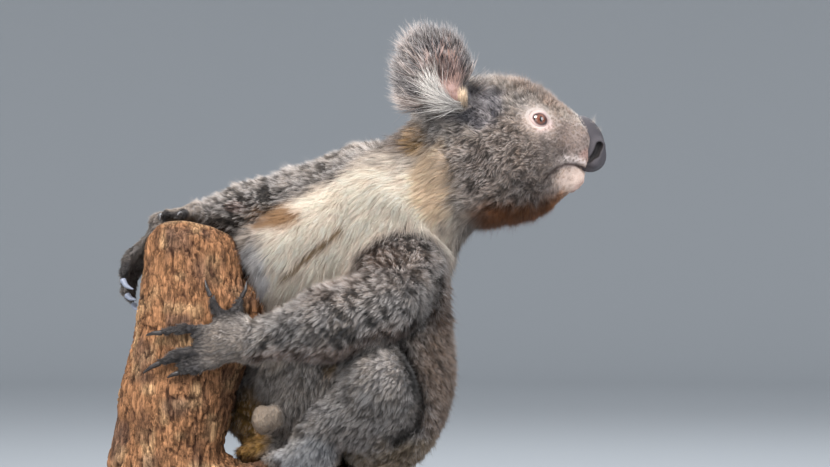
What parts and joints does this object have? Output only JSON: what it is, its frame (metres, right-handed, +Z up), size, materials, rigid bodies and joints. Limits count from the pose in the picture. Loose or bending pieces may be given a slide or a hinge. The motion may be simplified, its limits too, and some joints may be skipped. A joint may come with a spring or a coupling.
{
  "type": "koala figure",
  "caption": "Life-size male koala astride a cut tree fork, arms round the trunk, head turned to look over its shoulder, on a plain stand",
  "frame": {"origin": "middle of the stand base's underside", "axes": "+Z up, +X the way the nose points, +Y away from the animal's left arm and leg, with the trunk at the -X end"},
  "size_m": [0.4817, 0.3, 0.5624],
  "materials": {
    "grey_fur": "soft woolly fur, ash grey to brownish grey",
    "pale_fur": "soft creamy white fur",
    "bare_skin": "bare skin with a thin down",
    "nose_pad": "bare, finely grained, slightly moist",
    "eye": "polished, reddish-brown iris",
    "claw": "smooth dark horn",
    "bark": "furrowed reddish-brown bark, sawn ends",
    "base_board": "dark satin-painted board",
    "rod": "brushed"
  },
  "bodies": {
    "root": {"abdomen": "grey_fur", "claw_foot_left_2": "claw", "claw_foot_left_3": "claw", "claw_foot_left_4": "claw", "claw_foot_left_5": "claw", "claw_foot_right_2": "claw", "claw_foot_right_3": "claw", "claw_foot_right_4": "claw", "claw_foot_right_5": "claw", "claw_hand_left_1": "claw", "claw_hand_left_2": "claw", "claw_hand_left_3": "claw", "claw_hand_left_4": "claw", "claw_hand_left_5": "claw", "claw_hand_right_1": "claw", "claw_hand_right_2": "claw", "claw_hand_right_3": "claw", "claw_hand_right_4": "claw", "claw_hand_right_5": "claw", "ear_left": "grey_fur", "ear_right": "grey_fur", "eye_left": "eye", "eye_right": "eye", "foot_left": "grey_fur", "foot_right": "grey_fur", "forearm_left": "grey_fur", "forearm_right": "grey_fur", "hand_left": "grey_fur", "hand_right": "grey_fur", "head": "grey_fur", "neck": "grey_fur", "nose": "nose_pad", "perch": "bark", "scrotum": "bare_skin", "shin_left": "grey_fur", "shin_right": "grey_fur", "stand_base": "base_board", "stand_rod_branch": "rod", "stand_rod_trunk": "rod", "thigh_left": "grey_fur", "thigh_right": "grey_fur", "thorax": "pale_fur", "upper_arm_left": "grey_fur", "upper_arm_right": "grey_fur"}
  },
  "joints": []
}
